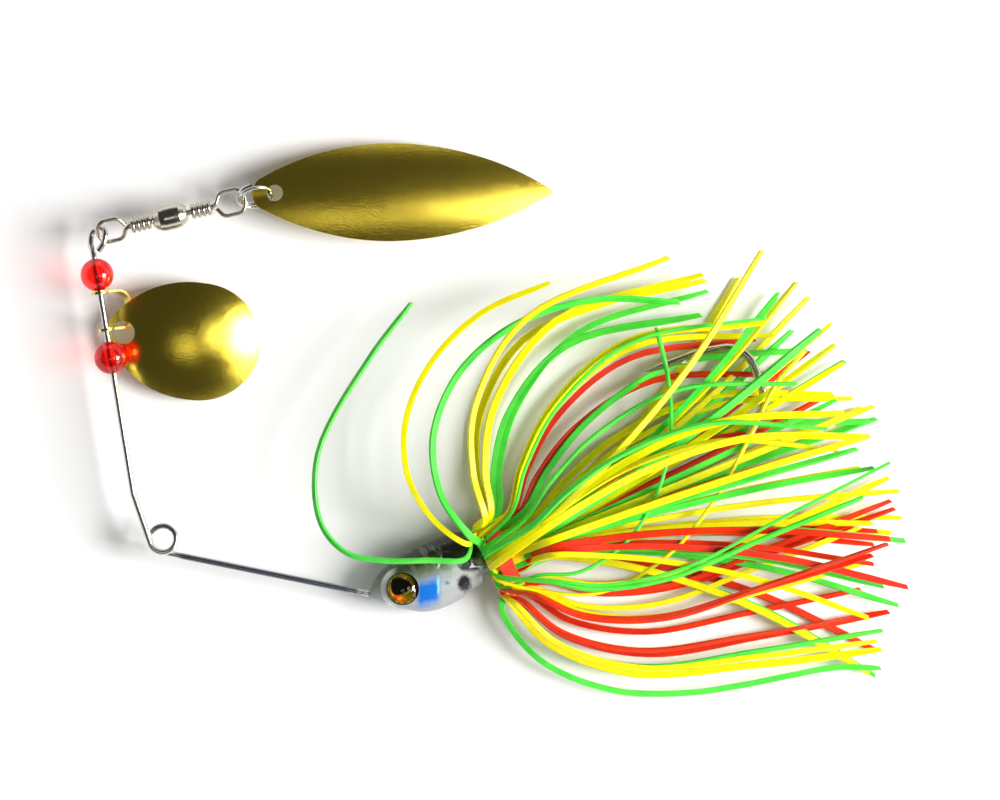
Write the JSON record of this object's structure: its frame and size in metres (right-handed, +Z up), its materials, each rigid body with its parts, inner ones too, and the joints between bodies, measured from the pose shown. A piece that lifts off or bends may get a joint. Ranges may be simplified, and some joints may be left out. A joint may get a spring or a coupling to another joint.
{
  "type": "spinnerbait",
  "caption": "Spinning fishing lure: bent wire frame with a fish-shaped head, hook and silicone skirt on one arm, and a round and a leaf-shaped blade on the other",
  "frame": {"origin": "under the middle of the lure as it lies on its side, on the surface it lies on", "axes": "+X from the wire frame to the hook bend, +Y from the head to the leaf-shaped blade, +Z up from the surface, across the flat frame"},
  "size_m": [0.1321, 0.0888, 0.0157],
  "materials": {
    "frame_wire": "bright drawn wire",
    "hook_wire": "dark nickel",
    "head_paint": "glossy airbrushed paint",
    "eye_foil": "holographic foil",
    "eye_lens": "clear",
    "bead": "translucent",
    "gold_strip": "gold plated",
    "gold_blade": "gold plated, satin",
    "swivel_metal": "nickel plated",
    "ring_metal": "nickel plated",
    "band_rubber": "matt",
    "silicone_green": "translucent, satin",
    "silicone_yellow": "translucent, satin",
    "silicone_red": "translucent, satin"
  },
  "bodies": {
    "lure_frame": {"eye_left_foil": "eye_foil", "eye_left_lens": "eye_lens", "eye_right_foil": "eye_foil", "eye_right_lens": "eye_lens", "hook": "hook_wire", "lead_head": "head_paint", "skirt_band": "band_rubber", "skirt_strand_01_yellow": "silicone_yellow", "skirt_strand_02_green": "silicone_green", "skirt_strand_03_yellow": "silicone_yellow", "skirt_strand_04_green": "silicone_green", "skirt_strand_05_red": "silicone_red", "skirt_strand_06_yellow": "silicone_yellow", "skirt_strand_07_red": "silicone_red", "skirt_strand_08_yellow": "silicone_yellow", "skirt_strand_09_yellow": "silicone_yellow", "skirt_strand_10_red": "silicone_red", "skirt_strand_11_green": "silicone_green", "skirt_strand_12_yellow": "silicone_yellow", "skirt_strand_13_yellow": "silicone_yellow", "skirt_strand_14_green": "silicone_green", "skirt_strand_15_yellow": "silicone_yellow", "skirt_strand_16_green": "silicone_green", "skirt_strand_17_red": "silicone_red", "skirt_strand_18_yellow": "silicone_yellow", "skirt_strand_19_red": "silicone_red", "skirt_strand_20_yellow": "silicone_yellow", "skirt_strand_21_red": "silicone_red", "skirt_strand_22_red": "silicone_red", "skirt_strand_23_green": "silicone_green", "skirt_strand_24_yellow": "silicone_yellow", "skirt_strand_25_yellow": "silicone_yellow", "skirt_strand_26_green": "silicone_green", "skirt_strand_27_yellow": "silicone_yellow", "skirt_strand_28_green": "silicone_green", "skirt_strand_29_green": "silicone_green", "skirt_strand_30_yellow": "silicone_yellow", "skirt_strand_31_yellow": "silicone_yellow", "skirt_strand_32_green": "silicone_green", "skirt_strand_33_red": "silicone_red", "skirt_strand_34_green": "silicone_green", "skirt_strand_35_green": "silicone_green", "skirt_strand_36_yellow": "silicone_yellow", "skirt_strand_37_red": "silicone_red", "skirt_strand_38_green": "silicone_green", "skirt_strand_39_yellow": "silicone_yellow", "skirt_strand_40_red": "silicone_red", "skirt_strand_41_green": "silicone_green", "skirt_strand_42_yellow": "silicone_yellow", "wire_frame": "frame_wire"},
    "bead_lower": {"bead_lower": "bead"},
    "bead_upper": {"bead_upper": "bead"},
    "clevis": {"clevis": "gold_strip"},
    "colorado_blade": {"colorado_blade": "gold_blade"},
    "swivel_front": {"swivel_eye_front": "swivel_metal"},
    "swivel_barrel": {"swivel_barrel": "swivel_metal"},
    "swivel_rear": {"swivel_eye_rear": "swivel_metal"},
    "split_ring": {"split_ring": "ring_metal"},
    "willow_blade": {"willow_blade": "gold_blade"}
  },
  "joints": [
    {"name": "bead_lower_slide", "type": "slide", "parent": "lure_frame", "child": "bead_lower", "axis": [0.1624, -0.9867, 0], "range_m": [0, 0.015]},
    {"name": "bead_upper_spin", "type": "hinge", "parent": "lure_frame", "child": "bead_upper", "pos_m": [-0.06417, 0.02321, 0.0056], "axis": [0.1624, -0.9867, 0], "continuous": true},
    {"name": "clevis_spin", "type": "hinge", "parent": "bead_lower", "child": "clevis", "pos_m": [-0.06326, 0.01768, 0.0056], "axis": [0.1624, -0.9867, 0], "continuous": true},
    {"name": "colorado_swing", "type": "hinge", "parent": "clevis", "child": "colorado_blade", "pos_m": [-0.0602, 0.0144, 0.0039], "axis": [0, 0, 1], "range_deg": [-3, 16]},
    {"name": "swivel_swing", "type": "hinge", "parent": "lure_frame", "child": "swivel_front", "pos_m": [-0.0633, 0.0299, 0.0059], "axis": [0, 0, 1], "range_deg": [-4, 25]},
    {"name": "barrel_spin", "type": "hinge", "parent": "swivel_front", "child": "swivel_barrel", "pos_m": [-0.0525, 0.03248, 0.0059], "axis": [0.974, 0.2267, 0], "continuous": true},
    {"name": "rear_eye_spin", "type": "hinge", "parent": "swivel_barrel", "child": "swivel_rear", "pos_m": [-0.0525, 0.03248, 0.0059], "axis": [0.974, 0.2267, 0], "continuous": true},
    {"name": "ring_swing", "type": "hinge", "parent": "swivel_rear", "child": "split_ring", "pos_m": [-0.04091, 0.03518, 0.0059], "axis": [0, 0, 1], "range_deg": [-8, 28]},
    {"name": "willow_swing", "type": "hinge", "parent": "split_ring", "child": "willow_blade", "pos_m": [-0.0363, 0.0363, 0.006], "axis": [0, 0, 1], "range_deg": [-10, 12]}
  ]
}
